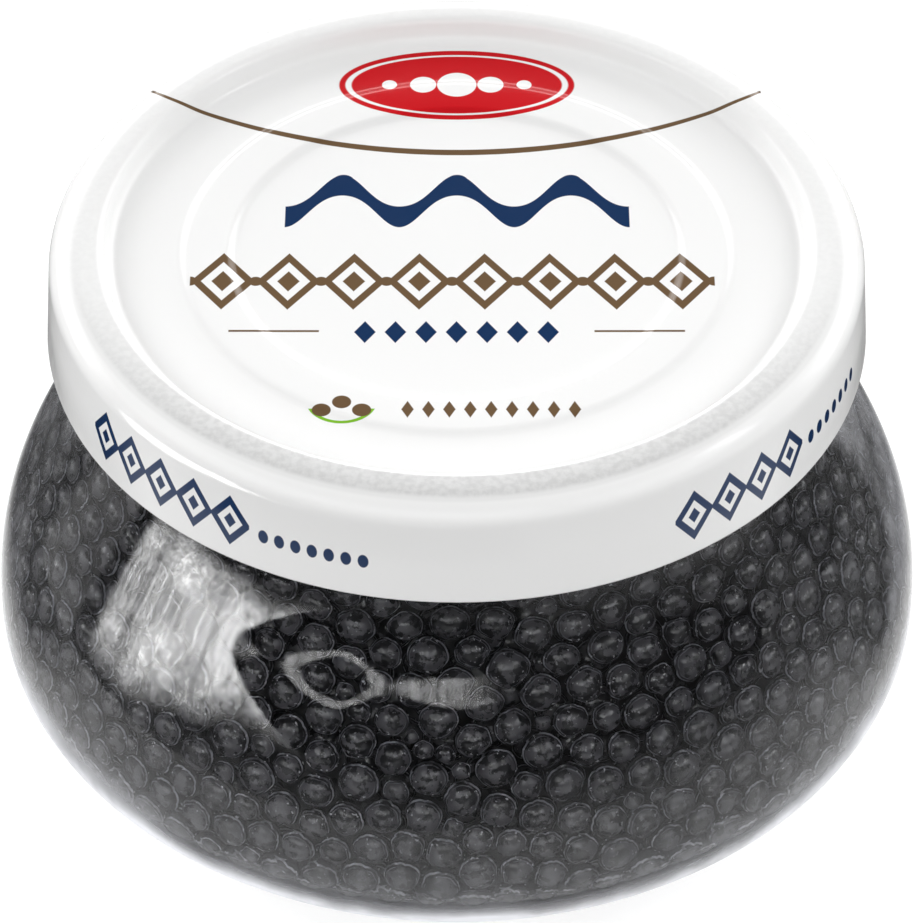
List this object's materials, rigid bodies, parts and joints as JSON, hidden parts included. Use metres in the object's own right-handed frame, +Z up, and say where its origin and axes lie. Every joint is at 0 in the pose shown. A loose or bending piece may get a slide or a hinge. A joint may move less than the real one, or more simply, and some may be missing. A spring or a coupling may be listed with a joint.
{
  "type": "jar of imitation caviar",
  "caption": "Squat round clear glass jar full of small black caviar pearls, shut with a wide white twist-off lid with a sunk top panel.",
  "frame": {"origin": "middle of the jar's foot, on the surface it stands on", "axes": "+Z up along the jar's axis; the jar and lid are round, and -Y is the side that faces the viewer in the picture"},
  "size_m": [0.099, 0.099, 0.0595],
  "materials": {
    "clear_glass": "clear polished container glass",
    "white_enamel": "glossy white enamel on tinplate with a simple print",
    "black_pearls": "wet, glossy near-black pearls in clear jelly"
  },
  "bodies": {
    "root": {"jar_glass": "clear_glass", "lid": "white_enamel", "caviar": "black_pearls"}
  },
  "joints": []
}
